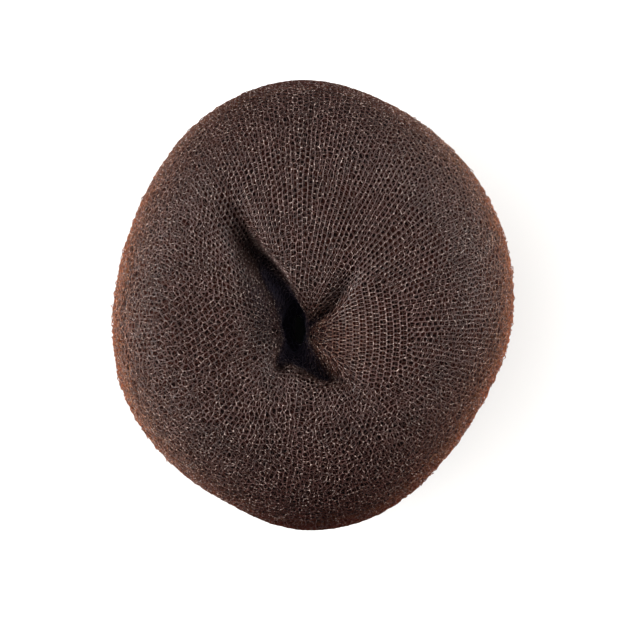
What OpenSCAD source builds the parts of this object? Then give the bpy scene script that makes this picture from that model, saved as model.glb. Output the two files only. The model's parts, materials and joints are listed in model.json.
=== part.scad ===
// Hair donut bun maker: a tube of brown knitted nylon net, rolled up on itself into a plump ring.
// It lies flat, as it does on a table: the hole for the ponytail runs up along +Z, the long way of
// the ring is along Y, and z = 0 is the surface that it rests on. Sizes are in millimetres.

/* [Donut] */
// Width of the donut across its short way
donut_w = 88.8; // [76:0.2:120]
// Length of the donut across its long way
donut_l = 100; // [86:0.5:130]
// Height of the donut where it is plumpest
donut_h = 44; // [36:0.5:56]
// Width of the flat ring that it rests on
rest_w = 12; // [8:0.5:15]

/* [Ponytail hole] */
// Width of the hole where the lobes close in on it
hole_w = 5; // [4.6:0.1:10]
// Length of the hole at the same place
hole_l = 14; // [10:0.5:20]
// Turn of the hole's long way, anticlockwise from the length of the donut
hole_turn = 0; // [-30:1:30]
// How far the lips are twisted clockwise about the hole
lip_twist = 28; // [0:1:40]

/* [Rolled net] */
// Wall of the outer turn, a few loose layers of net
net_wall = 2.4; // [1.6:0.1:3]
// Wall of the inner turns, many layers pressed together
roll_wall = 4.6; // [3:0.1:5.4]
// Space between one turn and the next
turn_gap = 0.3; // [0.2:0.05:0.8]
// How far the outer turn is tucked in past its own edge, as an angle about the roll
tuck = 26; // [13:1:52]
// Turns in the inner roll
roll_turns = 1.6; // [1.2:0.1:1.9]

/* [Folds] */
// Depth of the deepest fold below the plump surface
fold_depth = 12; // [4:0.5:14]
// Distance over which the lobe beside the widest fold rounds over into it
fold_w = 9; // [6:0.5:12]

/* [Hidden] */

net_colour = "#4a3630";
roll_colour = "#2a1c18";

// Columns of the table of sections: reach of the rim from the hole, a share of the donut's length,
// and height of the crest, a share of the donut's height
REACH = 0;
CREST = 1;
// A row for each section, evenly spaced, anticlockwise from the right-hand side
SECTIONS = [
    [0.469, 0.975],
    [0.498, 0.980],
    [0.522, 0.985],
    [0.540, 0.995],
    [0.556, 1.000],
    [0.522, 0.985],
    [0.463, 0.965],
    [0.424, 0.960],
    [0.413, 0.960],
    [0.413, 0.955],
    [0.409, 0.950],
    [0.414, 0.945],
    [0.443, 0.945],
    [0.445, 0.950],
    [0.431, 0.960],
    [0.435, 0.970]
];

// Columns of the table of folds: the direction of its far end and of its end in the hole, as the
// angle of the section that it lies in; its depth, a share of fold_depth; the angles of a section
// where it is at full depth and where it fades out, on its way to the rim; and how far the lobes on
// its left and right round over into it, shares of fold_w
FAR_END = 0;
HOLE_END = 1;
DEEP = 2;
FULL_AT = 3;
GONE_AT = 4;
LEFT = 5;
RIGHT = 6;
// The long gully up to the left, the crease beside the right lobe, and the two notches at the bottom
FOLDS = [
    [117, 124, 1.00, 126, 62, 0.80, 0.50],
    [ 45,  50, 0.60, 142, 98, 0.90, 0.22],
    [318, 301, 0.70, 150, 104, 0.40, 0.45],
    [238, 270, 0.60, 150, 118, 0.45, 0.40]
];
// Radius at the bottom of a fold
fold_round = 0.8;
// Near the hole a fold narrows to this share of its distance from the hole, on either side
fold_spread = 0.6;

// Roundness of each quarter of a section, as the power of its curve: 2 is an ellipse, more is boxier
shoulder_power = 2.1;
lip_power = 3;
throat_power = 2.4;
foot_power = 2.1;
// Roundness of the hole's outline, in the same way
hole_power = 3;
// Height of the middle of the roll, a share of the donut's height
middle_share = 0.5;
// Least radius that a fold leaves, a share of the radius that the plump section has there
least_share = 0.45;
// Folds go on over the lips at full depth to the first of these angles, and end in the hole at the other
lips_from = 130;
lips_to = 180;

// The lips start to turn at this angle of the section, and are turned all the way at 180
twist_from = 112;

// Sections round the ring, and stations in each quarter of a section: shoulder, lip, throat and foot
ring_steps = 64;
quarter_steps = [6, 11, 6, 6];
roll_ring_steps = ring_steps / 2;
roll_quarter_steps = 4;

// Stations once round a section, from the rim over the crest and down through the hole
around_section = [for (q = [0:3]) for (i = [0:quarter_steps[q] - 1]) 90 * (q + i / quarter_steps[q])];
turn_steps = len(around_section);
function station(k) = around_section[k % turn_steps] + 360 * floor(k / turn_steps);
// The outer turn's edge is under the lips, half-way down the throat's quarter
edge_step = quarter_steps[0] + quarter_steps[1] + quarter_steps[2] / 2;
edge_at = station(edge_step);
tuck_steps = max(1, round(tuck / 90 * quarter_steps[2]));
// The angle over which the outer turn dives, to go in under its own edge
dive = 50;
// From a face of one turn to the same face of the next
pitch = net_wall + turn_gap;
roll_pitch = roll_wall + turn_gap;
// The inner roll's stations, from its outer edge at the foot to its inner edge in the eye
roll_step = 90 / roll_quarter_steps;
roll_last = round(roll_turns * 360 / roll_step);
roll_edge_at = 270;
// The angle over which the inner roll dives, to go in under its own edge
roll_dive = 70;

function mixed(a, b, t) = a + (b - a) * t;
function clamped(t) = min(1, max(0, t));
function eased(t) = let (c = clamped(t)) c * c * (3 - 2 * c);
function wrapped(angle) = ((angle % 360) + 360) % 360;
function powered_radius(angle, a, b, power) =
    pow(pow(abs(cos(angle) / a), power) + pow(abs(sin(angle) / b), power), -1 / power);

// A smooth curve through one column of the table of sections, all the way round the ring
function curve_through(p, t) = 0.5 * (2 * p[1] + (p[2] - p[0]) * t
    + (2 * p[0] - 5 * p[1] + 4 * p[2] - p[3]) * t * t
    + (3 * p[1] - p[0] - 3 * p[2] + p[3]) * t * t * t);
function row(k, column) = SECTIONS[(k + len(SECTIONS)) % len(SECTIONS)][column];
function around(angle, column) =
    let (t = wrapped(angle) * len(SECTIONS) / 360, k = floor(t))
    curve_through([for (i = [-1:2]) row(k + i, column)], t - k);

// The outline, fitted to the donut's width and length, with its box centred on the origin
function raw_rim(angle) = around(angle, REACH) * [cos(angle), sin(angle)];
ring_angles = [for (i = [0:ring_steps - 1]) i * 360 / ring_steps];
raw_points = [for (angle = ring_angles) raw_rim(angle)];
raw_low = [for (axis = [0:1]) min([for (p = raw_points) p[axis]])];
raw_high = [for (axis = [0:1]) max([for (p = raw_points) p[axis]])];
rim_scale = [donut_w / (raw_high[0] - raw_low[0]), donut_l / (raw_high[1] - raw_low[1])];
hole_at = [for (axis = [0:1]) -rim_scale[axis] * (raw_low[axis] + raw_high[axis]) / 2];
highest = max([for (angle = ring_angles) around(angle, CREST)]);

function plan_point(share) = hole_at + [rim_scale[0] * share[0], rim_scale[1] * share[1]];
function rim_point(angle) = plan_point(raw_rim(angle));
function throat_point(angle) =
    hole_at + powered_radius(angle - hole_turn - lip_twist, hole_w / 2, hole_l / 2, hole_power)
        * [cos(angle), sin(angle)];

// One section: its middle, the way out from the hole, half its width, and its height above and
// below the middle. It dips below z = 0 a little, so that it flattens to rest_w where it rests.
middle_z = middle_share * donut_h;
MIDDLE = 0;
OUT = 1;
HALF_W = 2;
ABOVE = 3;
BELOW = 4;
FROM_HOLE = 5;
ANGLE = 6;
function section_of(angle) =
    let (
        rim = rim_point(angle),
        throat = throat_point(angle),
        half_w = norm(rim - throat) / 2,
        above = donut_h * around(angle, CREST) / highest - middle_z,
        below = middle_z * pow(1 - pow(rest_w / 2 / half_w, foot_power), -1 / foot_power)
    )
    [(rim + throat) / 2, (rim - throat) / (2 * half_w), half_w, above, below,
        norm((rim + throat) / 2 - hole_at), angle];

// Radius of the plump section at the angle v, which is 0 at the rim, 90 at the crest, 180 in the hole
function plump_radius(s, v) =
    let (
        w = wrapped(v),
        upper = w <= 180,
        outer = w < 90 || w > 270,
        power = upper ? (outer ? shoulder_power : lip_power) : (outer ? foot_power : throat_power)
    )
    powered_radius(w, s[HALF_W], upper ? s[ABOVE] : s[BELOW], power);

// Depth of one fold at the angle v of the section that lies in the direction angle from the hole
function one_fold(fold, angle, v, from_hole) =
    let (
        inwards = clamped((v - fold[GONE_AT]) / (180 - fold[GONE_AT])),
        turn = wrapped(angle - mixed(fold[FAR_END], fold[HOLE_END], inwards) + 180) - 180,
        away = abs(turn) < 90 ? from_hole * sin(turn) : donut_l,
        round_away = norm([away, fold_round]) - fold_round,
        reach = 1 / (1 / (fold_w * fold[turn > 0 ? LEFT : RIGHT]) + 1 / (fold_spread * from_hole)),
        rise = clamped(1 - round_away / reach)
    )
    fold[DEEP] * eased((v - fold[GONE_AT]) / (fold[FULL_AT] - fold[GONE_AT])) * rise * rise;

// Radius of the finished section, with its folds
function radius(s, v) =
    let (
        w = wrapped(v),
        plump = plump_radius(s, v),
        share = w > lips_to ? 0 : 1 - eased((w - lips_from) / (lips_to - lips_from)),
        from_hole = s[FROM_HOLE] + plump * cos(w),
        deepest = max([for (fold = FOLDS) one_fold(fold, s[ANGLE], w, from_hole)]),
        cut = fold_depth * share * deepest
    )
    max(plump - cut, least_share * plump);

// Turn of the lips about the hole at an angle of a section
function twist_at(v) =
    let (w = wrapped(v))
    lip_twist * (w <= 180 ? eased((w - twist_from) / (180 - twist_from)) : eased((360 - w) / 180));
// A point of a section at the angle v and the radius r, turned with the lips, and no lower than floor_z
function placed(s, v, r, floor_z) =
    let (
        xy = s[MIDDLE] + r * cos(v) * s[OUT] - hole_at,
        t = -twist_at(v)
    )
    [hole_at[0] + xy[0] * cos(t) - xy[1] * sin(t), hole_at[1] + xy[0] * sin(t) + xy[1] * cos(t),
        max(middle_z + r * sin(v), floor_z)];

// A closed ring through its sections, each the same number of points long
module ring_of(rings) {
    n = len(rings);
    m = len(rings[0]);
    polyhedron(
        points = [for (ring = rings) each ring],
        faces = [for (i = [0:n - 1]) let (j = (i + 1) % n) for (k = [0:m - 1]) let (l = (k + 1) % m)
            each [[i * m + k, j * m + l, j * m + k], [i * m + k, i * m + l, j * m + l]]],
        convexity = 8
    );
}

// Depth of the outer turn's outer face below the surface: none for most of the turn, then it dives
// under its own edge and stays there
function outer_depth(v) = pitch * eased((v - edge_at - 360 + dive) / dive);
function outer_ring(angle) =
    let (
        s = section_of(angle),
        stations = [for (k = [0:turn_steps + tuck_steps])
            let (v = station(edge_step + k)) [v, outer_depth(v)]],
        outside = [for (st = stations) placed(s, st[0], radius(s, st[0]) - st[1], st[1])],
        inside = [for (i = [len(stations) - 1:-1:0]) let (st = stations[i], d = st[1] + net_wall)
            placed(s, st[0], radius(s, st[0]) - d, d)]
    )
    concat(outside, inside);

// Room that the outer turn takes up at an angle of the section: one wall, and two where it is tucked
// under its own edge, with the dive before it
tucked_to = station(edge_step + tuck_steps) - edge_at;
function taken(v) =
    let (
        past = wrapped(v - edge_at),
        tucked = 1 - eased((past - tucked_to - roll_step / 2) / roll_step),
        diving = eased((past - 360 + dive + roll_step / 2) / dive)
    )
    pitch * (1 + max(tucked, diving));

// The inner roll keeps clear of the outer turn between its own few stations too, so it takes the
// least radius round about
function roll_radius(angle, v) = min([
    for (da = [-0.5, 0, 0.5]) let (s = section_of(angle + da * 360 / roll_ring_steps))
    for (dv = [-0.5, 0, 0.5]) let (w = v + dv * roll_step) radius(s, w) - taken(w)
]);
// It is squeezed where a fold presses on it
function squeeze(s, v, r) = min(1, r / (plump_radius(s, v) - 2 * pitch));
function roll_depth(k) = roll_pitch * eased((k * roll_step - 360 + roll_dive) / roll_dive);
function roll_ring(angle) =
    let (
        s = section_of(angle),
        stations = [for (k = [0:roll_last])
            let (v = roll_edge_at + k * roll_step, r = roll_radius(angle, v))
            [v, r, squeeze(s, v, r), roll_depth(k)]],
        outside = [for (st = stations) placed(s, st[0], st[1] - st[2] * st[3], pitch + st[3])],
        inside = [for (i = [len(stations) - 1:-1:0]) let (st = stations[i])
            placed(s, st[0], st[1] - st[2] * (st[3] + roll_wall), pitch + st[3] + roll_wall)]
    )
    concat(outside, inside);

module outer_turn() {
    color(net_colour) ring_of([for (angle = ring_angles) outer_ring(angle)]);
}

module inner_roll() {
    color(roll_colour) ring_of([for (i = [0:roll_ring_steps - 1]) roll_ring(i * 360 / roll_ring_steps)]);
}

outer_turn();
inner_roll();
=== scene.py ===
from collections import namedtuple
import json
import math

import bpy
import numpy as np
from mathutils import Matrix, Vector, noise
from mathutils.bvhtree import BVHTree
from mathutils.geometry import delaunay_2d_cdt


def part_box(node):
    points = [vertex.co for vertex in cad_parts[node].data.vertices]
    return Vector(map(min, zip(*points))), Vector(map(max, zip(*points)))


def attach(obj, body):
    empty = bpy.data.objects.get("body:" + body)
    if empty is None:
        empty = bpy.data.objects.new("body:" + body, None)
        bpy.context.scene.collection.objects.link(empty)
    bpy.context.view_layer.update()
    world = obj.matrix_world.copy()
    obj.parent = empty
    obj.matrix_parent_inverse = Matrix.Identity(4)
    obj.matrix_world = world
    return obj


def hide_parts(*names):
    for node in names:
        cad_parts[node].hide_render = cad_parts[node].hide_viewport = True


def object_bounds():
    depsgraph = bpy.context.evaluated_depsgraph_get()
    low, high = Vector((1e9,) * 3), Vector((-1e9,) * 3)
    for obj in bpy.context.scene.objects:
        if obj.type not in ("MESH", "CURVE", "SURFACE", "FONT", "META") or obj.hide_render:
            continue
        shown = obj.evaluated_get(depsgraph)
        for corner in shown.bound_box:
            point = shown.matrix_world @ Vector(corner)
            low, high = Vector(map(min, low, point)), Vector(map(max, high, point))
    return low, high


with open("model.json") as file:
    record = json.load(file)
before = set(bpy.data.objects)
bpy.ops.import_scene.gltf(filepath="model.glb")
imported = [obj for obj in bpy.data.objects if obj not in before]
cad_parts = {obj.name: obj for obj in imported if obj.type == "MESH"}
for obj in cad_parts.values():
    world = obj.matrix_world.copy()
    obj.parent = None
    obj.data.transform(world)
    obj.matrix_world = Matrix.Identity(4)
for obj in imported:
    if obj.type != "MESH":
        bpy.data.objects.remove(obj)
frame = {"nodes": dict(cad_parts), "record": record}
cad_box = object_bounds()

# Sizes are real ones in metres, most of them written as millimetres times this. The tables of folds and
# patches hold plain millimetres
MM = 0.001


# Nodes, for the net and for the materials

def colour(hex_code):
    """An sRGB hex colour as linear values."""
    parts = [int(hex_code[k:k + 2], 16) / 255 for k in (1, 3, 5)]
    return [p / 12.92 if p <= 0.04045 else ((p + 0.055) / 1.055) ** 2.4 for p in parts] + [1]


def add_node(tree, kind, sockets=None, **settings):
    """Adds a node with its settings. Each socket gets another's link, a hex colour or a value."""
    node = tree.nodes.new(kind)
    for name, value in settings.items():
        setattr(node, name, value)
    for socket, value in (sockets or {}).items():
        if isinstance(value, bpy.types.NodeSocket):
            tree.links.new(value, node.inputs[socket])
        elif isinstance(value, str):
            node.inputs[socket].default_value = colour(value)
        else:
            node.inputs[socket].default_value = value
    return node


# The surface of the donut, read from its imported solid

# Samples of the surface round the ring, and round one section of the roll
RING_SAMPLES = 288
SECTION_SAMPLES = 160
# Softening of the solid's facets, in samples
RING_SOFTENING = 1.6
SECTION_SOFTENING = 2.2
# A gap between two walls wider than this is the hole or the eye of the roll, and not that of the tucked edge
WALL_GAP = 1.2 * MM
# A ray that goes on through a face starts again this far behind it
PAST_FACE = 1e-6
# Nothing of the net is lower than this above the table
CLEAR_OF_TABLE = 0.2 * MM
# Where the donut rests the layers lie closer together, by this share
PRESSED = 0.6
# In the hole they do too: share there, the turn of the section that faces the hole, and the turns away
# from it up to which the layers are tight, and from which on they are loose
TIGHT = 0.22
THROAT = 0.56
TIGHT_TO = 0.1
LOOSE_FROM = 0.22
# Half-way down the hole the soft lobes close in further than the solid's: the share of the room there
# that they fill, and how far up and down in turns of the section
CLOSED_IN = 0.6
CLOSED_REACH = 0.065
# Where the net is pinched in more sharply than the solid, or is fuller. Each line is a place along a fold:
# x and y from the middle of the hole, half width and extra depth, all in mm, and how much painted shade it
# gets there. The depth is less than 0 where the net is fuller
# The gully, from the upper left down into the hole and past it
GULLY = (
    (-11.3, 21.8, 0.6, 0.0, 0.0),
    (-9.8, 17.6, 1.0, 0.8, 0.65),
    (-7.4, 12.6, 1.6, 2.0, 0.95),
    (-4.9, 9.0, 2.6, 3.0, 0.97),
    (-2.6, 6.0, 2.5, 3.6, 0.97),
    (-0.8, 2.6, 2.2, 3.6, 0.95),
    (-0.4, -1.0, 1.9, 3.0, 0.95),
    (-1.4, -4.4, 1.6, 2.0, 0.9),
    (-3.2, -5.8, 0.9, 1.5, 0.85),
)
# The slit that runs on from the hole to the lower right
SLIT = (
    (0.0, -6.0, 1.2, 2.0, 0.9),
    (4.6, -8.8, 0.9, 1.5, 0.85),
    (8.6, -10.6, 0.7, 0.8, 0.6),
    (12.5, -11.2, 0.7, 0.0, 0.1),
)
# The plump edge of the upper lobe, along the gully
UPPER_EDGE = (
    (-16.5, 32.0, 4.0, -1.0, 0.0),
    (-13.0, 26.5, 3.2, -1.9, 0.0),
    (-8.6, 19.5, 2.2, -1.8, 0.0),
    (-4.8, 14.0, 2.0, -2.8, 0.0),
    (-1.6, 11.0, 1.9, -2.6, 0.0),
    (0.6, 7.0, 1.8, -2.4, 0.0),
    (2.0, 4.0, 1.3, -1.0, 0.0),
)
# The crease between the upper lobe and the right one, which the net spans more flatly than the solid
CREASE = (
    (2.4, 1.6, 1.2, -1.0, 0.0),
    (5.0, 4.2, 1.8, -2.0, 0.0),
    (8.5, 7.8, 2.2, -2.2, 0.0),
    (12.0, 11.6, 2.6, -1.6, 0.0),
    (15.5, 15.0, 2.6, 0.0, 0.0),
)
# The plump edge of the right lobe, along the hole
LIP = (
    (4.0, 1.5, 2.4, -1.2, 0.0),
    (3.4, -2.5, 2.6, -1.8, 0.0),
    (5.2, -6.5, 2.4, -1.6, 0.0),
    (8.5, -9.0, 2.0, -0.6, 0.0),
)
# The shade on that edge
LIP_SHADE = (
    (5.0, 3.0, 3.0, 0.0, 0.4),
    (5.6, -2.0, 5.2, 0.0, 0.62),
    (7.0, -7.0, 4.2, 0.0, 0.6),
    (10.5, -9.5, 2.6, 0.0, 0.35),
)
# Painted shade on the wall left of the gully and the hole
LEFT_WALL_SHADE = (
    (-13.5, 21.0, 2.0, 0.0, 0.0),
    (-11.0, 14.0, 2.6, 0.0, 0.45),
    (-8.8, 8.0, 3.5, 0.0, 0.75),
    (-6.6, 1.0, 3.8, 0.0, 0.7),
    (-6.2, -4.0, 2.8, 0.0, 0.35),
)
# The folds that have a depth, and those that get painted shade
SHAPED_FOLDS = (GULLY, SLIT, UPPER_EDGE, CREASE, LIP)
PAINTED_SHADE_FOLDS = (GULLY, SLIT, LEFT_WALL_SHADE)
# The painted shade of a fold reaches this many half widths to each side, and a higher power ends it
# more sharply
FOLD_SHADE_REACH = 1.1
FOLD_SHADE_POWER = 4
# The side of the donut that is turned away from the light: the way to it, how far from the hole the
# shade starts and is full in mm, and how dark it is
SHADE_SIDE = (0.3, -0.95)
SHADE_REACH = (10, 45)
SHADE_SHARE = 0.8
# Painted shade: the net is a little darker towards the rim all round, and much darker at the donut's two
# ends, where less light falls: the two shares, and how far in from the rim this reaches
ROUND_SHADE = 0.22
ENDS_SHADE = 0.95
RIM_DEPTH = 11 * MM
# A higher power keeps this painted shade closer to the two ends
ENDS_POWER = 4
# In the hole the net gets painted shade from the first height down to the second, to this share, and
# full painted shade at the third
LIGHT_FROM = 40 * MM
LIGHT_TO = 31 * MM
HOLE_SHARE = 0.88
NO_LIGHT = 24 * MM
# Light gets in from below too: fully under the first height, and no further than the second
FOOT_LIGHT = (5 * MM, 13 * MM)
# Light from beyond the rim gets this far in through the net, let through by the strands and painted on
# as an orange-brown glow, and gets through the two ends of the donut less than through its sides
GLOW_DEPTH = 4.0 * MM
GLOW_AT_ENDS = 0.05
# A higher power keeps this light closer to the sides
SIDES_POWER = 1.5
# A glow is painted on the lobe right of the hole too, where light also gets through: x and y of its middle
# from that of the hole and its half width in mm, and the share of the light there
PAINTED_LOBE_GLOW = (7.0, -2.0, 7.0, 0.3)
# The upper side in turns of the section, from near the rim to near the hole, and how often it is halved to
# find the turn of a place on it
UPPER_SIDE = (0.02, 0.48)
HALVINGS = 30


def mount_place(name):
    """Where the record puts a mount."""
    for mount in frame["record"]["mounts"]:
        if mount["name"] == name:
            return Vector(mount["pos_m"])
    raise ValueError(f"the record has no mount named {name}")


def ramp(values, start, end):
    """How far values are on their way from the start to the end, from 0 to 1."""
    return np.clip((values - start) / (end - start), 0, 1)


def eased(share, height):
    """The part of a height that a share stands for, with a soft start and a soft end."""
    return height * share * share * (3 - 2 * share)


def distance_to(tree, start, direction):
    """How far a ray goes before it meets the solid."""
    return tree.ray_cast(start, direction)[3]


def outer_face(tree, middle, direction):
    """Distance from the roll's middle, out through the wall and its tucked edge, to the open air.

    The first two faces that a ray meets are the wall's. The next two are an edge's, or far away.
    """
    travelled = 0.0
    faces = []
    while len(faces) < 4:
        reach = distance_to(tree, middle + direction * (travelled + PAST_FACE), direction)
        if reach is None:
            break
        travelled += reach + PAST_FACE
        faces.append(travelled)
    if len(faces) == 4 and faces[2] - faces[1] < WALL_GAP:
        return faces[3]
    return faces[1]


def softened(samples, width, axis):
    """Samples smoothed round a closed ring by a bell curve of this width."""
    count = samples.shape[axis]
    waves = np.fft.fftfreq(count) * math.tau
    bell = np.exp(-0.5 * (waves * width) ** 2)
    shape = [1] * samples.ndim
    shape[axis] = count
    return np.fft.ifft(np.fft.fft(samples, axis=axis) * bell.reshape(shape), axis=axis).real


class Skin:
    """The donut's surface: a place for each turn round the ring, turn round the section and depth.

    A section starts at the rim, and goes over the top to the hole and back under the foot.
    """

    def __init__(self, node, hole):
        depsgraph = bpy.context.evaluated_depsgraph_get()
        tree = BVHTree.FromObject(frame["nodes"][node], depsgraph)
        self.hole = np.array(hole)
        past_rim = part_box(node)[1].length * 2
        middles = np.zeros((RING_SAMPLES, 2))
        radii = np.zeros((RING_SAMPLES, SECTION_SAMPLES))
        for i in range(RING_SAMPLES):
            angle = math.tau * i / RING_SAMPLES
            out = Vector((math.cos(angle), math.sin(angle), 0))
            lip = distance_to(tree, hole, out)
            rim = past_rim - distance_to(tree, hole + out * past_rim, -out)
            middle = hole + out * (lip + rim) / 2
            middles[i] = middle.xy
            for j in range(SECTION_SAMPLES):
                turn = math.tau * j / SECTION_SAMPLES
                direction = out * math.cos(turn) + Vector((0, 0, math.sin(turn)))
                radii[i, j] = outer_face(tree, middle, direction)
        self.middles = softened(middles, RING_SOFTENING, 0)
        self.radii = softened(softened(radii, RING_SOFTENING, 0), SECTION_SOFTENING, 1)
        self.close_in()
        self.shape_folds()

    def close_in(self):
        """Lets the lobes close in on the hole half-way down, where the section has made half a turn."""
        turns = np.arange(SECTION_SAMPLES) / SECTION_SAMPLES
        room = np.linalg.norm(self.middles - self.hole[:2], axis=1)[:, None] - self.radii
        self.radii += CLOSED_IN * room * np.exp(-((turns - 0.5) / CLOSED_REACH) ** 2)

    def shape_folds(self):
        """Sinks the net further where it is pinched in, and fills it where it is fuller."""
        ring = np.repeat(np.arange(RING_SAMPLES) / RING_SAMPLES, SECTION_SAMPLES)
        section = np.tile(np.arange(SECTION_SAMPLES) / SECTION_SAMPLES, RING_SAMPLES)
        places = self.at(ring, section, 0)
        sunk = sum(self.in_fold(places, fold)[0] for fold in SHAPED_FOLDS)
        self.radii -= sunk.reshape(self.radii.shape)
        places = self.at(ring, section, 0)
        reach = np.hypot(places[:, 0] - self.hole[0], places[:, 1] - self.hole[1])
        self.reach = reach.reshape(self.radii.shape).max(axis=1)

    def in_fold(self, places, fold):
        """The extra depth of a fold at each place, and how much painted shade it gets there."""
        sunk = np.zeros(len(places))
        dark = np.zeros(len(places))
        for start, end in zip(fold, fold[1:]):
            x, y, width, depth, shade = np.array(start)
            step_x, step_y, wider, deeper, darker = np.array(end) - np.array(start)
            along = np.array((step_x, step_y)) * MM
            away = places[:, :2] - self.hole[:2] - np.array((x, y)) * MM
            share = np.clip(away @ along / (along @ along), 0, 1)
            away = np.linalg.norm(away - share[:, None] * along, axis=1) / ((width + wider * share) * MM)
            here = (depth + deeper * share) * MM * np.exp(-away ** 2)
            sunk = np.where(np.abs(here) > np.abs(sunk), here, sunk)
            dark = np.maximum(dark, (shade + darker * share) * np.exp(-(away / FOLD_SHADE_REACH) ** FOLD_SHADE_POWER))
        upper = places[:, 2] > self.hole[2]
        return sunk * upper, dark * upper

    def nearest_sample(self, places):
        """The number of the sample round the ring that is nearest to each place."""
        x, y = (places[:, :2] - self.hole[:2]).T
        return np.round(np.arctan2(y, x) / math.tau * RING_SAMPLES).astype(int) % RING_SAMPLES

    def from_rim(self, places):
        """How far each place is from the donut's outline as seen from above."""
        away = np.linalg.norm(places[:, :2] - self.hole[:2], axis=1)
        return self.reach[self.nearest_sample(places)] - away

    def darkness(self, places):
        """How little light gets to each place: 0 in the open, 1 deep in the hole and its folds."""
        dark = np.max([self.in_fold(places, fold)[1] for fold in PAINTED_SHADE_FOLDS], axis=0)
        middle = np.linalg.norm(self.middles[self.nearest_sample(places)] - self.hole[:2], axis=1)
        inside = np.linalg.norm(places[:, :2] - self.hole[:2], axis=1) < middle
        height = places[:, 2]
        share = eased(ramp(height, LIGHT_FROM, LIGHT_TO), HOLE_SHARE)
        share += (1 - HOLE_SHARE) * ramp(height, LIGHT_TO, NO_LIGHT)
        share *= ramp(height, *FOOT_LIGHT)
        return np.maximum(dark, share * inside)

    def shade(self, places):
        """How shaded each place is on the lip, round the rim and on the side turned away from the light."""
        lip = self.in_fold(places, LIP_SHADE)[1]
        away = (places[:, :2] - self.hole[:2]) / MM
        side = ramp(away @ np.array(SHADE_SIDE), *SHADE_REACH)
        ends = (away[:, 1] / np.linalg.norm(away, axis=1)) ** ENDS_POWER
        most = ROUND_SHADE + (ENDS_SHADE - ROUND_SHADE) * ends
        rim = most * np.exp(-self.from_rim(places) / RIM_DEPTH)
        return 1 - (1 - lip) * (1 - SHADE_SHARE * side) * (1 - np.clip(rim, 0, 1))

    def backlight(self, places):
        """How much light from beyond the rim comes through the net at each place."""
        x, y = (places[:, :2] - self.hole[:2]).T
        sides = GLOW_AT_ENDS + (1 - GLOW_AT_ENDS) * np.abs(x / np.hypot(x, y)) ** SIDES_POWER
        rim = sides * np.exp(-self.from_rim(places) / GLOW_DEPTH)
        lobe_x, lobe_y, half_width, most = PAINTED_LOBE_GLOW
        away = np.hypot(x - lobe_x * MM, y - lobe_y * MM) / (half_width * MM)
        lobe = most * np.exp(-(away ** 2)) * (places[:, 2] > self.hole[2])
        return np.clip(rim + lobe, 0, 1)

    def at(self, ring, section, depth):
        """Places on the surface, or under it by the depth. Ring and section are in turns."""
        x = (ring % 1) * RING_SAMPLES
        y = (section % 1) * SECTION_SAMPLES
        i, j = np.floor(x).astype(int), np.floor(y).astype(int)
        fx, fy = x - i, y - j
        i, j = i % RING_SAMPLES, j % SECTION_SAMPLES
        i2, j2 = (i + 1) % RING_SAMPLES, (j + 1) % SECTION_SAMPLES
        near = self.radii[i, j] * (1 - fy) + self.radii[i, j2] * fy
        next_one = self.radii[i2, j] * (1 - fy) + self.radii[i2, j2] * fy
        depth = depth * self.looseness(section)
        radius = near * (1 - fx) + next_one * fx - depth
        middle = self.middles[i] * (1 - fx)[:, None] + self.middles[i2] * fx[:, None]
        angle = math.tau * ring
        turn = math.tau * section
        places = np.empty((len(ring), 3))
        places[:, 0] = middle[:, 0] + radius * np.cos(turn) * np.cos(angle)
        places[:, 1] = middle[:, 1] + radius * np.cos(turn) * np.sin(angle)
        places[:, 2] = np.maximum(self.hole[2] + radius * np.sin(turn), CLEAR_OF_TABLE + depth * PRESSED)
        return places

    def turns_over(self, x, y, depth):
        """The turns of the places on the upper side that lie over x and y, from the middle of the hole."""
        ring = np.arctan2(y, x) / math.tau
        wanted = np.hypot(x, y)
        low, high = np.full(len(x), UPPER_SIDE[0]), np.full(len(x), UPPER_SIDE[1])
        for _ in range(HALVINGS):
            middle = (low + high) / 2
            places = self.at(ring, middle, depth)
            too_far = np.hypot(places[:, 0] - self.hole[0], places[:, 1] - self.hole[1]) > wanted
            low, high = np.where(too_far, middle, low), np.where(too_far, high, middle)
        return ring, (low + high) / 2

    def looseness(self, section):
        """How loosely the layers lie: fully over the crest and the rim, and least in the hole."""
        from_hole = np.abs((section - THROAT + 0.5) % 1 - 0.5)
        return TIGHT + eased(ramp(from_hole, TIGHT_TO, LOOSE_FROM), 1 - TIGHT)

    def outside(self, place):
        """Whether a place is on the side of the roll's middle that is away from the hole."""
        x, y = place.x - self.hole[0], place.y - self.hole[1]
        i = int(round(math.atan2(y, x) / math.tau * RING_SAMPLES)) % RING_SAMPLES
        return math.hypot(x, y) > np.linalg.norm(self.middles[i] - self.hole[:2])

    def outwards(self, places):
        """The direction out of the surface at each place, near enough."""
        out = places.copy()
        out[:, :2] -= self.middles[self.nearest_sample(places)]
        out[:, 2] -= self.hole[2]
        return out / np.linalg.norm(out, axis=1)[:, None]

    def around(self, places):
        """The level direction along the ring at each place."""
        out = places[:, :2] - self.hole[:2]
        out /= np.linalg.norm(out, axis=1)[:, None]
        return np.column_stack([-out[:, 1], out[:, 0], np.zeros(len(out))])


# The knitted net

# The net's lines run from the hole to the rim. Distance between two lines, and length of a cell along them
LINE_GAP = 1.25 * MM
CELL_LENGTH = 1.22 * MM
# A new line starts where two lines are further apart than this share of their gap, and a line ends
# where they are closer than that share
STRETCHED = (1.12, 1.32)
SQUEEZED = (0.55, 0.75)
# How straight the lines run: 1 for plain hexagons, 0 for lines with square rungs
ZIGZAG = 0.35
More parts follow.
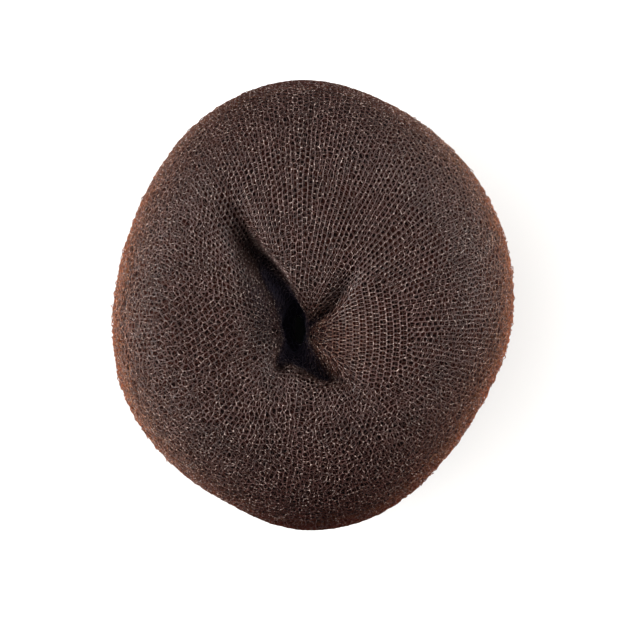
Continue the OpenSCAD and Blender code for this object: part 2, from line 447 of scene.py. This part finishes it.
# Patches where the net was pulled askew as the lips were twisted, so that its lines run another way. The
# middle is measured from that of the hole, the way that the lines run is in degrees from x, bow is the
# radius of their curve, and all lengths are in mm
Patch = namedtuple("Patch", "x y half_width half_height way bow line_gap rung_gap")
ASKEW = (
    Patch(x=15.2, y=-1.0, half_width=9.5, half_height=11.5, way=90, bow=45, line_gap=1.45, rung_gap=0.9),
    Patch(x=-22.0, y=-0.5, half_width=9.0, half_height=9.0, way=36, bow=60, line_gap=1.3, rung_gap=1.15),
)
# How unevenly the knots lie, as a share of a cell: least right of the hole, more at the left and
# below it, and most round the rim
EVEN = 0.05
UNEVEN = 0.16
UNEVEN_RIM = 0.29
# How fast it grows towards the left and the foot of the photo, and how far in from the rim it starts to
# grow towards that
UNEVEN_LEFT = 0.5
UNEVEN_BELOW = 0.7
UNEVEN_FROM = 18 * MM
# The knots lie less unevenly in height than sideways, by this share left and right of the hole, and
# not at all unevenly towards the donut's two ends, where the net is tight
LEVEL_SHARE = 0.4
# The inner layers are left out where nothing shows of them: under these heights above the table, on
# the outside for the second and the third layer, and in the hole for both
SECOND_FROM = 12 * MM
THIRD_FROM = 19 * MM
LIPS_FROM = 28 * MM
# The core lies this deep under the skin, and this deep at the foot. From the first height down to the second
# it grows into the room of the layers that are left out
CORE_DEPTH = 1.6 * MM
FOOT_CORE_DEPTH = 0.6 * MM
FILLED_FROM = 17 * MM
FILLED_TO = 11 * MM
# Corners of the core round the ring and round its section
CORE_CORNERS = (256, 128)
# The extra layer round the rim reaches this far above and below the middle of the roll, and its edge goes in
# and out by up to this, in waves of this length
RIM_BAND = 9 * MM
RAGGED_BY = 3 * MM
RAGGED_EVERY = 4 * MM
# Steps round a course and steps along a section, in this many sections round the ring, to measure lengths
COURSE_SAMPLES = 720
SECTION_STEPS = 360
SECTIONS = 48
# On the flat chart of a layer the cells go on past its edges by this much, so that the net closes round the
# ring and the section, and corners closer than this are one
CHART_MARGIN = 0.05
SAME_CORNER = 1e-9


def course_turns(skin, depth):
    """The turn of the section at which each course lies, evenly spaced over the surface."""
    turns = np.linspace(0, 1, SECTION_STEPS + 1)
    rings = np.linspace(0, 1, SECTIONS, endpoint=False)
    lengths = np.zeros(len(turns) - 1)
    for ring in rings:
        places = skin.at(np.full(len(turns), ring), turns, depth)
        lengths += np.linalg.norm(np.diff(places, axis=0), axis=1) / len(rings)
    along = np.concatenate([[0], np.cumsum(lengths)])
    count = 2 * int(round(along[-1] / CELL_LENGTH))
    return np.interp(np.arange(count) * along[-1] / count, along, turns)


def measure_course(skin, turn, depth):
    """The length along a course at evenly spaced turns of the ring, from 0 to the whole length."""
    rings = np.linspace(0, 1, COURSE_SAMPLES + 1)
    places = skin.at(rings, np.full(len(rings), turn), depth)
    steps = np.linalg.norm(np.diff(places, axis=0), axis=1)
    return rings, np.concatenate([[0], np.cumsum(steps)])


def next_course(course, rings, along, dice):
    """The cells of the next course: half-way between these, with lines started and ended."""
    here = np.interp(course, rings, along)
    whole = along[-1]
    gaps = np.diff(np.append(here, here[0] + whole))
    made = []
    lost = False
    for place, gap in zip(here, gaps):
        if gap > 2 * LINE_GAP * dice.uniform(*STRETCHED):
            made += [place + gap / 3, place + gap * 2 / 3]
            lost = False
        elif gap < 2 * LINE_GAP * dice.uniform(*SQUEEZED) and not lost:
            lost = True
        else:
            made.append(place + gap / 2)
            lost = False
    made = np.sort(np.array(made) % whole)
    return np.interp(made, along, rings)


def dual_mesh_nodes():
    """Geometry nodes that turn each corner of a mesh into a cell, and each triangle into a knot."""
    group = bpy.data.node_groups.new("cells_from_triangles", "GeometryNodeTree")
    group.interface.new_socket("Geometry", in_out="INPUT", socket_type="NodeSocketGeometry")
    group.interface.new_socket("Geometry", in_out="OUTPUT", socket_type="NodeSocketGeometry")
    start = add_node(group, "NodeGroupInput")
    dual = add_node(group, "GeometryNodeDualMesh", {0: start.outputs[0]})
    add_node(group, "NodeGroupOutput", {0: dual.outputs[0]})
    return group


def select_only(piece):
    """Makes a piece the only one that operators and modifiers act on."""
    bpy.ops.object.select_all(action="DESELECT")
    bpy.context.view_layer.objects.active = piece
    piece.select_set(True)


def apply_modifier(piece, kind, **settings):
    """Adds a modifier with its settings and applies it."""
    select_only(piece)
    bpy.ops.object.modifier_add(type=kind)
    modifier = piece.modifiers[-1]
    for name, value in settings.items():
        setattr(modifier, name, value)
    bpy.ops.object.modifier_apply(modifier=modifier.name)


def in_patch(x, y, patch):
    """Whether places, measured from the middle of the hole, are in a patch that is pulled askew."""
    across, up = (x / MM - patch.x) / patch.half_width, (y / MM - patch.y) / patch.half_height
    return across * across + up * up < 1


def bow_of(patch):
    """The middle of the arcs that a patch's lines follow, from the middle of the hole."""
    across = math.radians(patch.way - 90)
    return np.array((patch.x - patch.bow * math.cos(across), patch.y - patch.bow * math.sin(across))) * MM


def patch_cells(patch, shift):
    """The cells of a patch, in bowed lines, as places from the middle of the hole.

    Every other line is half a rung further on. The shift moves all cells by that share of both gaps, so that
    two layers don't coincide.
    """
    reach = max(patch.half_width, patch.half_height)
    last_line = math.ceil(reach / patch.line_gap)
    last_rung = math.ceil(reach / patch.rung_gap) + 1
    lines = np.arange(-last_line, last_line + 1)
    rungs = np.arange(-last_rung, last_rung + 1)
    line, rung = np.meshgrid(lines, rungs, indexing="ij")
    radius = (patch.bow + (line + shift) * patch.line_gap) * MM
    turn = (rung + 0.5 * (line % 2) + shift) * patch.rung_gap / patch.bow + math.radians(patch.way - 90)
    bow = bow_of(patch)
    x, y = bow[0] + radius * np.cos(turn), bow[1] + radius * np.sin(turn)
    inside = in_patch(x, y, patch)
    return x[inside], y[inside]


def across_lines(places, skin):
    """The level direction across the net's lines at each place."""
    across = skin.around(places)
    x, y = places[:, 0] - skin.hole[0], places[:, 1] - skin.hole[1]
    for patch in ASKEW:
        inside = in_patch(x, y, patch) & (places[:, 2] > skin.hole[2])
        bow = bow_of(patch)
        away = np.column_stack([x - bow[0], y - bow[1], np.zeros(len(x))])
        across[inside] = (away / np.linalg.norm(away, axis=1)[:, None])[inside]
    return across


def surface_chart(skin, depth):
    """The section's turn against its distance on a flat chart of the surface that keeps its angles."""
    turns = np.linspace(0, 1, SECTION_STEPS + 1)
    rings = np.linspace(0, 1, SECTIONS + 1)
    up = np.zeros(len(turns) - 1)
    around = np.zeros(len(turns))
    for ring in rings[:-1]:
        up += np.linalg.norm(np.diff(skin.at(np.full(len(turns), ring), turns, depth), axis=0), axis=1)
    for k, turn in enumerate(turns):
        course = skin.at(rings, np.full(len(rings), turn), depth)
        around[k] = np.sum(np.linalg.norm(np.diff(course, axis=0), axis=1))
    up /= len(rings) - 1
    return turns, np.concatenate([[0], np.cumsum(up / ((around[1:] + around[:-1]) / 2))])


def joined(ring, section, chart):
    """Triangles between neighbouring cells, all round the ring and the section."""
    turns, heights = chart
    x, y = ring % 1, np.interp(section % 1, turns, heights)
    whole = heights[-1]
    every_x, every_y, cell = [], [], []
    for dx in (-1, 0, 1):
        for dy in (-1, 0, 1):
            copy_x, copy_y = x + dx, y + dy * whole
            near = (copy_x > -CHART_MARGIN) & (copy_x < 1 + CHART_MARGIN)
            near &= (copy_y > -CHART_MARGIN) & (copy_y < whole + CHART_MARGIN)
            every_x.append(copy_x[near])
            every_y.append(copy_y[near])
            cell.append(np.nonzero(near)[0])
    every_x, every_y, cell = np.concatenate(every_x), np.concatenate(every_y), np.concatenate(cell)
    points = [Vector(point) for point in zip(every_x.tolist(), every_y.tolist())]
    found = delaunay_2d_cdt(points, [], [], 0, SAME_CORNER)
    came_from = np.array([sources[0] for sources in found[3]])
    faces = came_from[np.array(found[2])]
    middle_x, middle_y = every_x[faces].mean(axis=1), every_y[faces].mean(axis=1)
    inside = (middle_x >= 0) & (middle_x < 1) & (middle_y >= 0) & (middle_y < whole)
    return cell[faces[inside]]


def knot_places(mesh, skin, dice):
    """Where each triangle's knot goes: nearer the corner across from its side along the line.

    The shares of its corners in a knot add up to 1, and are a third each where the lines are plain hexagons.
    """
    count = len(mesh.polygons)
    corners = np.empty(count * 3, dtype=int)
    mesh.polygons.foreach_get("vertices", corners)
    corners = corners.reshape(count, 3)
    places = vertex_places(mesh)
    across = across_lines(places, skin)
    ends = places[corners]
    away = []
    for k in range(3):
        side = ends[:, (k + 2) % 3] - ends[:, (k + 1) % 3]
        side /= np.linalg.norm(side, axis=1)[:, None]
        away.append(np.abs(np.sum(side * across[corners[:, k]], axis=1)))
    lone = np.argmin(np.array(away), axis=0)
    weight = np.full((count, 3), 0.25 + ZIGZAG / 12)
    weight[np.arange(count), lone] = 0.5 - ZIGZAG / 6
    knots = np.sum(ends * weight[:, :, None], axis=1)
    out = knots[:, :2] - skin.hole[:2]
    out /= np.linalg.norm(out, axis=1)[:, None]
    towards = UNEVEN_LEFT - UNEVEN_LEFT * out[:, 0] - UNEVEN_BELOW * out[:, 1]
    unevenness = EVEN + (UNEVEN - EVEN) * np.clip(towards, 0, 1)
    unevenness += (UNEVEN_RIM - unevenness) * np.clip(1 - skin.from_rim(knots) / UNEVEN_FROM, 0, 1)
    moved = dice.normal(0, LINE_GAP, knots.shape) * unevenness[:, None]
    outwards = skin.outwards(knots)
    level = 1 - (1 - LEVEL_SHARE) * np.abs(out[:, 0])
    moved -= (level * np.sum(moved * outwards, axis=1))[:, None] * outwards
    knots += moved
    knots[:, 2] = np.maximum(knots[:, 2], CLEAR_OF_TABLE)
    return knots


def vertex_places(mesh):
    """The places of a mesh's vertices, one in each row."""
    places = np.empty(len(mesh.vertices) * 3)
    mesh.vertices.foreach_get("co", places)
    return places.reshape(-1, 3)


def keep_faces(piece, skin, kept):
    """Cuts the faces away whose middles the given test turns down."""
    bpy.context.tool_settings.mesh_select_mode = (False, False, True)
    bpy.ops.object.mode_set(mode="EDIT")
    bpy.ops.mesh.select_all(action="DESELECT")
    bpy.ops.object.mode_set(mode="OBJECT")
    for face in piece.data.polygons:
        face.select = not kept(skin, face.center)
    bpy.ops.object.mode_set(mode="EDIT")
    bpy.ops.mesh.delete(type="FACE")
    bpy.ops.object.mode_set(mode="OBJECT")


def everywhere(skin, place):
    """The outer layer is whole."""
    return True


def second_layer(skin, place):
    """The second layer stops where nothing shows of it."""
    return place.z > (SECOND_FROM if skin.outside(place) else LIPS_FROM)


def third_layer(skin, place):
    """The third layer stops where nothing shows of it, which is further up on the outside."""
    return place.z > (THIRD_FROM if skin.outside(place) else LIPS_FROM)


def round_the_rim(skin, place):
    """The loose band of net round the outside, which light from behind gets through."""
    return abs(place.z - skin.hole[2]) < RIM_BAND + ragged(place) and skin.outside(place)


def ragged(place):
    """How far the edge of a band goes in or out at a place, a few cells at most."""
    return noise.noise(place / RAGGED_EVERY) * RAGGED_BY


def knitted_cells(skin, depth, dice):
    """The cells of a whole layer, course by course, as turns of the ring and of the section."""
    turns = course_turns(skin, depth)
    courses = []
    for turn in turns:
        rings, along = measure_course(skin, turn, depth)
        if courses:
            course = next_course(courses[-1], rings, along, dice)
        else:
            cells = int(round(along[-1] / (2 * LINE_GAP)))
            course = np.interp(np.arange(cells) * along[-1] / cells, along, rings)
        courses.append(course)
    section = [np.full(len(course), turn) for course, turn in zip(courses, turns)]
    return np.concatenate(courses), np.concatenate(section)


def pulled_askew(ring, section, skin, depth, shift):
    """The same cells, but in the patches that are pulled askew they lie in the patches' own lines."""
    for patch in ASKEW:
        places = skin.at(ring, section, depth)
        x, y = places[:, 0] - skin.hole[0], places[:, 1] - skin.hole[1]
        outside = ~in_patch(x, y, patch) | (places[:, 2] < skin.hole[2])
        new_ring, new_section = skin.turns_over(*patch_cells(patch, shift), depth)
        ring = np.concatenate([ring[outside], new_ring])
        section = np.concatenate([section[outside], new_section])
    return ring, section


def knitted_layer(name, skin, depth, strand, seed, shift, kept):
    """One layer of net as a closed mesh of thick strands, where the given test keeps it."""
    dice = np.random.default_rng(seed)
    ring, section = pulled_askew(*knitted_cells(skin, depth, dice), skin, depth, shift)
    triangles = joined(ring, section, surface_chart(skin, depth))
    mesh = bpy.data.meshes.new(name)
    mesh.from_pydata(skin.at(ring, section, depth).tolist(), [], triangles.tolist())
    piece = bpy.data.objects.new(name, mesh)
    bpy.context.scene.collection.objects.link(piece)
    select_only(piece)
    knots = knot_places(piece.data, skin, dice)
    apply_modifier(piece, "NODES", node_group=dual_mesh_nodes())
    assert len(knots) == len(piece.data.vertices)
    piece.data.vertices.foreach_set("co", knots.ravel())
    piece.data.update()
    keep_faces(piece, skin, kept)
    apply_modifier(piece, "WIREFRAME", thickness=strand, use_even_offset=False, use_relative_offset=False)
    piece.data.shade_smooth()
    return piece


def mark_light(piece, skin, glow):
    """Notes on a piece how much light comes through it and how little gets to it, for its material."""
    places = vertex_places(piece.data)
    marks = (
        ("backlit", glow * skin.backlight(places)),
        ("dark", skin.darkness(places)),
        ("shaded", skin.shade(places)),
    )
    for name, values in marks:
        piece.data.attributes.new(name, "FLOAT", "POINT").data.foreach_set("value", values)


def halves(piece, skin):
    """Cuts a layer in two, left and right of the hole, so that neither half is too heavy."""
    select_only(piece)
    bpy.ops.object.duplicate()
    other = bpy.context.object
    piece.name, other.name = piece.name + "_left", piece.name + "_right"
    for half, way in ((piece, 1), (other, -1)):
        select_only(half)
        bpy.ops.object.mode_set(mode="EDIT")
        bpy.ops.mesh.select_all(action="SELECT")
        bpy.ops.mesh.bisect(plane_co=skin.hole, plane_no=(way, 0, 0), use_fill=True, clear_outer=True)
        bpy.ops.object.mode_set(mode="OBJECT")
    return [piece, other]


def rolled_core(name, skin):
    """The pressed inner layers, as one plump ring that fills the room under the net.

    It starts as a plain ring, whose corners are then moved under the skin.
    """
    around_ring, around_section = CORE_CORNERS
    bpy.ops.object.select_all(action="DESELECT")
    bpy.ops.mesh.primitive_torus_add(
        major_segments=around_ring, minor_segments=around_section, major_radius=30 * MM, minor_radius=10 * MM
    )
    piece = bpy.context.object
    piece.name = name
    ring = np.repeat(np.arange(around_ring) / around_ring, around_section)
    section = np.tile(np.arange(around_section) / around_section, around_ring)
    places = skin.at(ring, section, CORE_DEPTH)
    share = ramp(places[:, 2], FILLED_FROM, FILLED_TO)
    places += (skin.at(ring, section, FOOT_CORE_DEPTH) - places) * share[:, None]
    piece.data.vertices.foreach_set("co", places.ravel())
    piece.data.update()
    piece.data.shade_smooth()
    return piece


# Materials

# The nylon's colour where a glow of light from behind is painted on, that of the light that really comes
# through, and that of its painted glints there
BACKLIT = "#96684f"
SHONE_THROUGH = "#d8905e"
PAINTED_GOLDEN_GLINT = "#e0b488"
# What the nylon's colour is multiplied by in the shade, and deep in the folds and the hole
WARM_SHADE = "#8a3d33"
COLD_SHADE = "#6a5a60"
# A layer's unlit tone comes in where its dark mark to this power is near 1, so only where it is darkest
UNLIT_POWER = 10
# The painted glints go out where the dark or the shaded mark to this power is near 1
PAINTED_GLINT_POWER = 5
# Patterns are noise: the size of their patches, and the noise at which they start and are full. The browns
# vary in broad patches, light comes through in spots of half a cell, and a painted glint is as long as two
# strands are thick, as finer ones wouldn't show in the render
BROWNS = (6 * MM, 0.3, 0.7)
SPOTS = (0.6 * MM, 0.4, 0.6)
PAINTED_GLINTS = (0.36 * MM, 0.57, 0.66)
# The share of the light that comes through between the spots, and how much more comes through in them
BETWEEN_SPOTS = 0.2
IN_SPOTS = 1.5
# The strands' gloss in the open, and how much of it is lost with light from behind
GLOSS = 0.45
GLOSS_LOST = 0.7
# The share of the strands' look that is light that comes through them, and how much more with light behind
SEE_THROUGH = 0.12
BACKLIT_THROUGH = 0.4
NYLON_IOR = 1.53
# The pressed layers: their strands and the gaps between, both with light behind them and unlit, the length
# of a cell, and how far from a strand's middle it ends and the gap is full, as shares of a cell
PACKED_STRANDS = "#361911"
PACKED_GAPS = "#170906"
PACKED_BACKLIT = "#6e3a26"
PACKED_UNLIT = "#322c3a"
PACKED_CELL = 1.2 * MM
STRAND_TO_GAP = (0.05, 0.14)
# The sockets of a Mix node that mixes two colours
UNDER, OVER, MIXED = 6, 7, 2


def empty_material(name):
    """A material without any nodes yet."""
    material = bpy.data.materials.new(name)
    material.use_nodes = True
    material.node_tree.nodes.clear()
    return material


def laid_over(tree, base, *coats):
    """A colour with coats laid over it in turn. Each is its share, its colour and the way that it blends."""
    for share, coat, blend in coats:
        sockets = {"Factor": share, UNDER: base, OVER: coat}
        base = add_node(tree, "ShaderNodeMix", sockets, data_type="RGBA", blend_type=blend).outputs[MIXED]
    return base


def noise_share(tree, size, start, full):
    """A share from 0 to 1 that varies over the piece, in patches of about this size."""
    place = add_node(tree, "ShaderNodeTexCoord").outputs["Object"]
    patches = add_node(tree, "ShaderNodeTexNoise", {"Vector": place, "Scale": 1 / size, "Detail": 3})
    sockets = {"Value": patches.outputs["Fac"], "From Min": start, "From Max": full}
    return add_node(tree, "ShaderNodeMapRange", sockets).outputs["Result"]


def noted_light(tree):
    """What a piece's vertices note: the light that comes through, in spots, the dark and the shade."""
    backlit, dark, shaded = [
        add_node(tree, "ShaderNodeAttribute", attribute_name=name).outputs["Fac"]
        for name in ("backlit", "dark", "shaded")
    ]
    sockets = {0: noise_share(tree, *SPOTS), 1: IN_SPOTS, 2: BETWEEN_SPOTS}
    spots = add_node(tree, "ShaderNodeMath", sockets, operation="MULTIPLY_ADD").outputs[0]
    backlit = add_node(tree, "ShaderNodeMath", {0: backlit, 1: spots}, operation="MULTIPLY").outputs[0]
    return backlit, dark, shaded


def less_light(tree, base, dark, shaded, unlit):
    """The colour where less light gets: warm in the shade, and nearly even deep in the hole."""
    darkest = add_node(tree, "ShaderNodeMath", {0: dark, 1: UNLIT_POWER}, operation="POWER").outputs[0]
    return laid_over(
        tree, base, (shaded, WARM_SHADE, "MULTIPLY"), (dark, COLD_SHADE, "MULTIPLY"), (darkest, unlit, "MIX")
    )


def nylon_gloss(tree, backlit, dark, shaded):
    """How glossy the strands are: less with light behind them, and not at all in the dark or the shade."""
    lost = add_node(tree, "ShaderNodeMath", {0: backlit, 1: GLOSS_LOST}, operation="MULTIPLY").outputs[0]
    lost = add_node(tree, "ShaderNodeMath", {0: shaded, 1: lost}, operation="MAXIMUM").outputs[0]
    sockets = {0: lost, 1: -GLOSS, 2: GLOSS}
    left = add_node(tree, "ShaderNodeMath", sockets, operation="MULTIPLY_ADD").outputs[0]
    lit = add_node(tree, "ShaderNodeMath", {0: 1, 1: dark}, operation="SUBTRACT").outputs[0]
    return add_node(tree, "ShaderNodeMath", {0: lit, 1: left}, operation="MULTIPLY").outputs[0]


def painted_glints(tree, dark, shaded):
    """Where glints are painted on the strands: in small spots, which go out in the dark and in the shade."""
    less_lit = add_node(tree, "ShaderNodeMath", {0: dark, 1: shaded}, operation="MAXIMUM").outputs[0]
    gone = add_node(tree, "ShaderNodeMath", {0: less_lit, 1: PAINTED_GLINT_POWER}, operation="POWER").outputs[0]
    left = add_node(tree, "ShaderNodeMath", {0: 1, 1: gone}, operation="SUBTRACT").outputs[0]
    sockets = {0: noise_share(tree, *PAINTED_GLINTS), 1: left}
    return add_node(tree, "ShaderNodeMath", sockets, operation="MULTIPLY").outputs[0]


def light_through(tree, backlit, dark):
    """How much of the strands' look is the light that comes through them, which is nothing in the dark."""
    sockets = {0: backlit, 1: BACKLIT_THROUGH, 2: SEE_THROUGH}
    share = add_node(tree, "ShaderNodeMath", sockets, operation="MULTIPLY_ADD").outputs[0]
    lit = add_node(tree, "ShaderNodeMath", {0: 1, 1: dark}, operation="SUBTRACT").outputs[0]
    return add_node(tree, "ShaderNodeMath", {0: share, 1: lit}, operation="MULTIPLY").outputs[0]


def knitted_nylon(name, deep_brown, light_brown, glint, unlit):
    """Nylon monofilament, drawn and knitted.

    Its smooth, round strands look faintly glossy, with glints painted on them in small spots. They let light
    through, and look orange-brown with light behind them, partly by that light and partly by a painted glow.
    """
    material = empty_material(name)
    tree = material.node_tree
    backlit, dark, shaded = noted_light(tree)
    browns = noise_share(tree, *BROWNS)
    base = laid_over(tree, deep_brown, (browns, light_brown, "MIX"), (backlit, BACKLIT, "MIX"))
    base = less_light(tree, base, dark, shaded, unlit)
    glint = laid_over(tree, glint, (backlit, PAINTED_GOLDEN_GLINT, "MIX"))
    base = laid_over(tree, base, (painted_glints(tree, dark, shaded), glint, "MIX"))
    gloss = nylon_gloss(tree, backlit, dark, shaded)
    strand = add_node(tree, "ShaderNodeBsdfPrincipled", {
        "Base Color": base, "Roughness": 0.35, "IOR": NYLON_IOR, "Specular IOR Level": gloss,
        "Coat Weight": gloss, "Coat Roughness": 0.25,
    })
    through = add_node(tree, "ShaderNodeBsdfTranslucent", {"Color": SHONE_THROUGH})
    both = add_node(tree, "ShaderNodeMixShader", {
        0: light_through(tree, backlit, dark), 1: strand.outputs[0], 2: through.outputs[0]
    })
    add_node(tree, "ShaderNodeOutputMaterial", {"Surface": both.outputs[0]})
    return material


def packed_nylon():
    """The same nylon net, rolled up tightly.

    Its many pressed layers look dark and matte, as light is lost between them, and the strands of the
    topmost ones just show.
    """
    material = empty_material("packed_nylon_net")
    tree = material.node_tree
    backlit, dark, shaded = noted_light(tree)
    place = add_node(tree, "ShaderNodeTexCoord").outputs["Object"]
    cells = add_node(
        tree, "ShaderNodeTexVoronoi", {"Vector": place, "Scale": 1 / PACKED_CELL}, feature="DISTANCE_TO_EDGE"
    )
    strand_end, gap_start = STRAND_TO_GAP
    sockets = {"Value": cells.outputs["Distance"], "From Min": strand_end, "From Max": gap_start}
    gap = add_node(tree, "ShaderNodeMapRange", sockets).outputs["Result"]
    base = laid_over(tree, PACKED_STRANDS, (gap, PACKED_GAPS, "MIX"), (backlit, PACKED_BACKLIT, "MIX"))
    base = less_light(tree, base, dark, shaded, PACKED_UNLIT)
    packed = add_node(tree, "ShaderNodeBsdfPrincipled", {
        "Base Color": base, "Roughness": 0.85, "IOR": NYLON_IOR, "Specular IOR Level": 0.1
    })
    add_node(tree, "ShaderNodeOutputMaterial", {"Surface": packed.outputs[0]})
    return material


def white_paper():
    """White paper, pressed and uncoated, which looks matte, pale and even all over."""
    material = empty_material("white_paper")
    tree = material.node_tree
    paper = add_node(tree, "ShaderNodeBsdfDiffuse", {"Color": "#f4f3f1"})
    add_node(tree, "ShaderNodeOutputMaterial", {"Surface": paper.outputs[0]})
    return material


# Stage

# The floor's width in metres
FLOOR_WIDTH = 6
# Brightness of the studio's walls, and what is added to it on each side: softboxes at the left and at the
# right, and dark cloths at the back and at the front
WALLS = 1.7
LEFT_BOX = 2.4
RIGHT_BOX = 1.9
BACK_BOX = -1.5
FRONT_BOX = -1.9
# The camera and its arm keep the light off from straight above: the share of it that is left there, and
# the height on the dome, from 0 at the table to 1 overhead, where this shade starts and where it is full
OVERHEAD = 0.1
SHADE_FROM = 0.74
SHADE_FULL = 0.92
# The two lamps: their places and widths in metres, and their power in watts
LAMPS = {
    "left_lamp": ((-0.8, 0.15, 0.35), 0.3, 8),
    "right_lamp": ((0.8, 0.15, 0.28), 0.3, 5),
}


def pale_floor():
    """The sheet of paper that the donut lies on."""
    bpy.ops.object.select_all(action="DESELECT")
    bpy.ops.mesh.primitive_plane_add(size=FLOOR_WIDTH)
    floor = bpy.context.object
    floor.name = "pale_floor"
    floor.data.materials.append(white_paper())


def lamp(name, place, width, power):
    """A small softbox that faces the donut, bright enough to glint on the strands."""
    data = bpy.data.lights.new(name, "AREA")
    data.shape = "DISK"
    data.size = width
    data.energy = power
    holder = bpy.data.objects.new(name, data)
    bpy.context.scene.collection.objects.link(holder)
    holder.location = place
    holder.rotation_euler = (-Vector(place)).to_track_quat("-Z", "Y").to_euler()


def studio():
    """Pale walls all round with softboxes at the sides, the camera's shade overhead, and the lamps."""
    world = bpy.data.worlds.new("studio_walls")
    bpy.context.scene.world = world
    world.use_nodes = True
    tree = world.node_tree
    direction = add_node(tree, "ShaderNodeTexCoord").outputs["Generated"]
    sides = add_node(tree, "ShaderNodeSeparateXYZ", {0: direction}).outputs
    total = WALLS
    boxes = (("X", -1, LEFT_BOX), ("X", 1, RIGHT_BOX), ("Y", 1, BACK_BOX), ("Y", -1, FRONT_BOX))
    for axis, way, power in boxes:
        side = add_node(tree, "ShaderNodeMath", {0: sides[axis], 1: way}, operation="MULTIPLY").outputs[0]
        side = add_node(tree, "ShaderNodeMath", {0: side, 1: 0}, operation="MAXIMUM").outputs[0]
        sockets = {0: side, 1: power, 2: total}
        total = add_node(tree, "ShaderNodeMath", sockets, operation="MULTIPLY_ADD").outputs[0]
    total = add_node(tree, "ShaderNodeMath", {0: total, 1: 0}, operation="MAXIMUM").outputs[0]
    shade = add_node(tree, "ShaderNodeMapRange", {
        "Value": sides["Z"], "From Min": SHADE_FROM, "From Max": SHADE_FULL, "To Min": 1, "To Max": OVERHEAD
    }, interpolation_type="SMOOTHSTEP").outputs["Result"]
    strength = add_node(tree, "ShaderNodeMath", {0: total, 1: shade}, operation="MULTIPLY").outputs[0]
    tree.links.new(strength, tree.nodes["Background"].inputs["Strength"])
    tree.nodes["Background"].inputs["Color"].default_value = colour("#ffffff")
    for name, (place, width, power) in LAMPS.items():
        lamp(name, place, width, power)


# The photo's frame, in pixels, and the donut's box in it
FRAME_PIXELS = 625
BOX_LEFT, BOX_RIGHT = 112.5, 514.0
BOX_TOP, BOX_BOTTOM = 78.5, 531.0
# How high the camera hangs in metres, and the width of its sensor in mm
CAMERA_HEIGHT = 0.7
SENSOR_WIDTH = 36


def camera_over(box):
    """A camera straight above, with the donut where the photo has it."""
    low, high = box
    equator = (low.z + high.z) / 2
    pixel = (high.y - low.y) / (BOX_BOTTOM - BOX_TOP)
    data = bpy.data.cameras.new("camera")
    data.sensor_width = SENSOR_WIDTH
    data.lens = SENSOR_WIDTH * (CAMERA_HEIGHT - equator) / (FRAME_PIXELS * pixel)
    camera = bpy.data.objects.new("camera", data)
    bpy.context.scene.collection.objects.link(camera)
    off_x = (FRAME_PIXELS / 2 - (BOX_LEFT + BOX_RIGHT) / 2) * pixel
    off_y = ((BOX_TOP + BOX_BOTTOM) / 2 - FRAME_PIXELS / 2) * pixel
    camera.location = ((low.x + high.x) / 2 + off_x, (low.y + high.y) / 2 + off_y, CAMERA_HEIGHT)
    bpy.context.scene.camera = camera


# Assembly

skin = Skin("outer_turn", mount_place("ponytail_hole"))

# The same nylon where it lies in the open, one layer down and under both, darker each time as painted
# shade, as less light gets down there
outer_nylon = knitted_nylon(
    "knitted_nylon_monofilament",
    deep_brown="#3d2926", light_brown="#5f4542", glint="#d4bcb0", unlit="#5a5465"
)
second_nylon = knitted_nylon(
    "half_shaded_nylon_monofilament",
    deep_brown="#2e1914", light_brown="#462c26", glint="#8a6c60", unlit="#403a48"
)
inner_nylon = knitted_nylon(
    "shaded_nylon_monofilament",
    deep_brown="#25110c", light_brown="#3a1f18", glint="#64402f", unlit="#3a3440"
)

# The layers of net: name, depth under the skin, thickness of the strands, seed of the random draws, shift of
# the cells in the askew patches, where the layer is kept, its nylon, and its share of the light that comes
# through
LAYERS = (
    ("outer_net", 0.15 * MM, 0.175 * MM, 1, 0.0, everywhere, outer_nylon, 1.0),
    ("rim_net", 0.4 * MM, 0.17 * MM, 4, 0.0, round_the_rim, outer_nylon, 0.85),
    ("second_net", 0.65 * MM, 0.16 * MM, 2, 0.1, second_layer, second_nylon, 0.5),
    ("third_net", 1.1 * MM, 0.16 * MM, 3, 0.5, third_layer, inner_nylon, 0.35),
)
# The core's share of the light from behind, which is only painted on it as a glow
CORE_GLOW = 0.25
# These layers have too many faces for one piece
TOO_HEAVY = ("outer_net", "second_net")

for name, depth, strand, seed, shift, kept, nylon, glow in LAYERS:
    layer = knitted_layer(name, skin, depth, strand, seed, shift, kept)
    parts = halves(layer, skin) if name in TOO_HEAVY else [layer]
    for part in parts:
        mark_light(part, skin, glow)
        part.data.materials.append(nylon)
        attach(part, "root")
        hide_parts("outer_turn")

core = rolled_core("rolled_core", skin)
mark_light(core, skin, CORE_GLOW)
core.data.materials.append(packed_nylon())
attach(core, "root")
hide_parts("inner_roll")

camera_over(cad_box)
pale_floor()
studio()
bpy.context.scene.view_settings.view_transform = "Standard"
